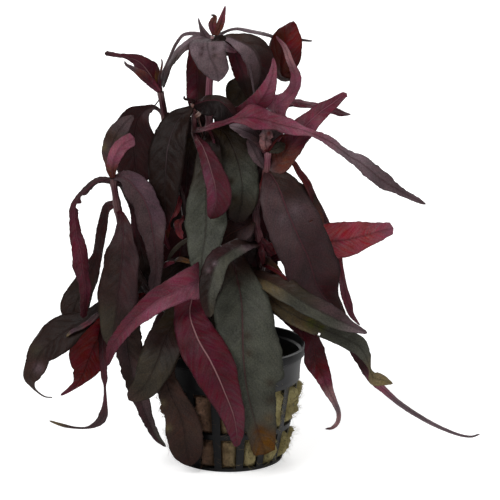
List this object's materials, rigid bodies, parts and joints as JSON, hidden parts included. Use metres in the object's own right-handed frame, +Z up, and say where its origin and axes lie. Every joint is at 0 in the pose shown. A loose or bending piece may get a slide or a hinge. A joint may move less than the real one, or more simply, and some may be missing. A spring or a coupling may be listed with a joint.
{
  "type": "potted aquarium plant",
  "caption": "Potted aquatic stem plant: drooping, twisted lance-shaped leaves on upright stems in a round slatted basket pot packed with mineral wool.",
  "frame": {"origin": "middle of the pot's flat base, on the surface it stands on", "axes": "+Z up through the pot's middle; -Y to the side shown in front; +X to the viewer's right"},
  "size_m": [0.1578, 0.0755, 0.1599],
  "materials": {
    "pot": "moulded black plastic, satin",
    "rock_wool": "damp, fibrous, olive yellow",
    "stem": "fleshy, ribbed, pale pink to grey purple",
    "leaf_dark": "leaf, dark brown purple, satin with pale glints",
    "leaf_olive": "leaf, olive brown, satin",
    "leaf_green": "leaf, grey green, satin",
    "leaf_grey": "leaf, grey mauve, satin",
    "leaf_mauve": "leaf underside, pink mauve, satin",
    "leaf_magenta": "leaf underside, magenta, satin",
    "leaf_crimson": "leaf, crimson where the light comes through",
    "leaf_rose": "leaf, rose red, satin",
    "leaf_tan": "leaf, olive tan, ageing"
  },
  "bodies": {
    "root": {"pot": "pot", "rock_wool": "rock_wool", "stem_centre": "stem", "stem_upper_left": "stem", "stem_right": "stem", "stem_left": "stem", "stem_upper_right": "stem", "stem_back": "stem", "leaf_crown_front": "leaf_grey", "leaf_crown_arch_inner": "leaf_grey", "leaf_crown_hanging": "leaf_crimson", "leaf_crown_thin": "leaf_grey", "leaf_crown_grey": "leaf_green", "leaf_crown_dark": "leaf_crimson", "leaf_crown_olive": "leaf_olive", "leaf_shoot_left": "leaf_crimson", "leaf_left_tip": "leaf_mauve", "leaf_left_shoulder": "leaf_dark", "leaf_left_arch": "leaf_magenta", "leaf_left_dark": "leaf_dark", "leaf_left_front": "leaf_dark", "leaf_left_low": "leaf_olive", "leaf_left_grey": "leaf_grey", "leaf_left_behind": "leaf_dark", "leaf_left_crimson": "leaf_crimson", "leaf_left_tail": "leaf_dark", "leaf_centre_olive": "leaf_olive", "leaf_centre_dark": "leaf_dark", "leaf_centre_green": "leaf_green", "leaf_centre_magenta": "leaf_magenta", "leaf_side_arched": "leaf_dark", "leaf_centre_grey": "leaf_green", "leaf_centre_brown": "leaf_dark", "leaf_centre_curl": "leaf_grey", "leaf_right_long": "leaf_mauve", "leaf_magenta_up": "leaf_magenta", "leaf_pink_arch": "leaf_mauve", "leaf_crimson_top": "leaf_crimson", "leaf_right_mauve": "leaf_mauve", "leaf_right_thin": "leaf_grey", "leaf_right_front": "leaf_dark", "leaf_right_edge": "leaf_crimson", "leaf_right_behind": "leaf_olive", "leaf_right_rose": "leaf_rose", "leaf_right_whip": "leaf_mauve", "leaf_olive_upper": "leaf_olive", "leaf_olive_lower": "leaf_tan", "leaf_pot_crimson": "leaf_crimson", "leaf_front_green": "leaf_green", "leaf_front_magenta": "leaf_magenta", "leaf_front_pink": "leaf_mauve", "leaf_pot_olive": "leaf_olive", "leaf_pot_brown": "leaf_dark", "leaf_pot_hanging": "leaf_dark", "leaf_back_left": "leaf_magenta", "leaf_back_right": "leaf_magenta", "leaf_back_middle": "leaf_crimson", "leaf_back_side": "leaf_magenta", "leaf_back_pot_right": "leaf_magenta", "leaf_back_pot_left": "leaf_magenta"}
  },
  "joints": []
}
